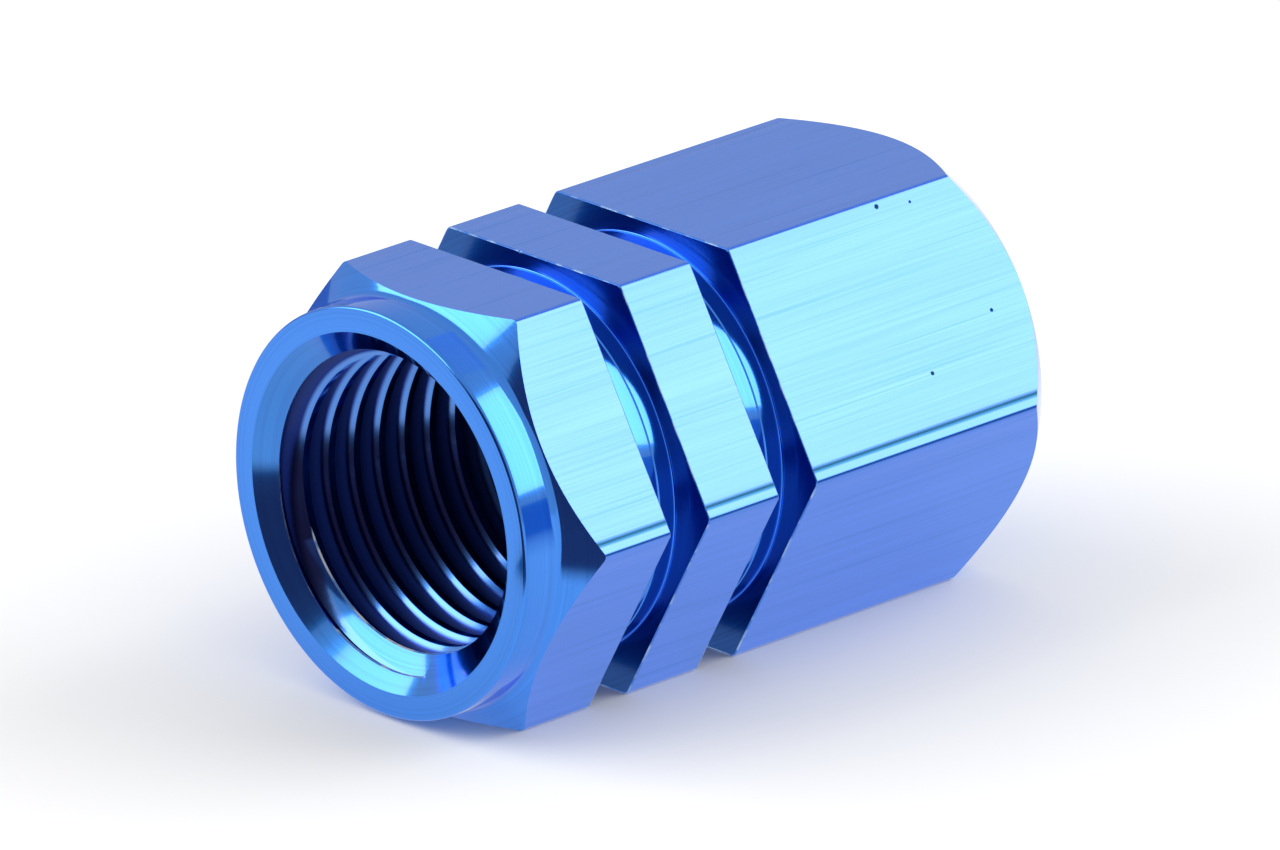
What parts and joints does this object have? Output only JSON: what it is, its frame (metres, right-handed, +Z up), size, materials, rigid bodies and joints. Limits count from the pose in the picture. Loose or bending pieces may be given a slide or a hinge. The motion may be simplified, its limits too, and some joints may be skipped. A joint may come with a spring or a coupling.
{
  "type": "tyre valve cap",
  "caption": "Hexagonal anodised aluminium cap that screws onto a tyre's valve stem, with square grooves round it, a short round collar at the mouth and a blind threaded hole.",
  "frame": {"origin": "on the surface that the cap lies on, under the middle of its length", "axes": "+X along the bore from the open mouth to the closed end, +Z up, square to the flat that the cap lies on"},
  "size_m": [0.0164, 0.0116, 0.01],
  "materials": {
    "anodised_aluminium": "blue anodised, drawn along the flats and turned on the collar, cones and grooves"
  },
  "bodies": {
    "root": {"cap_body": "anodised_aluminium"}
  },
  "joints": []
}
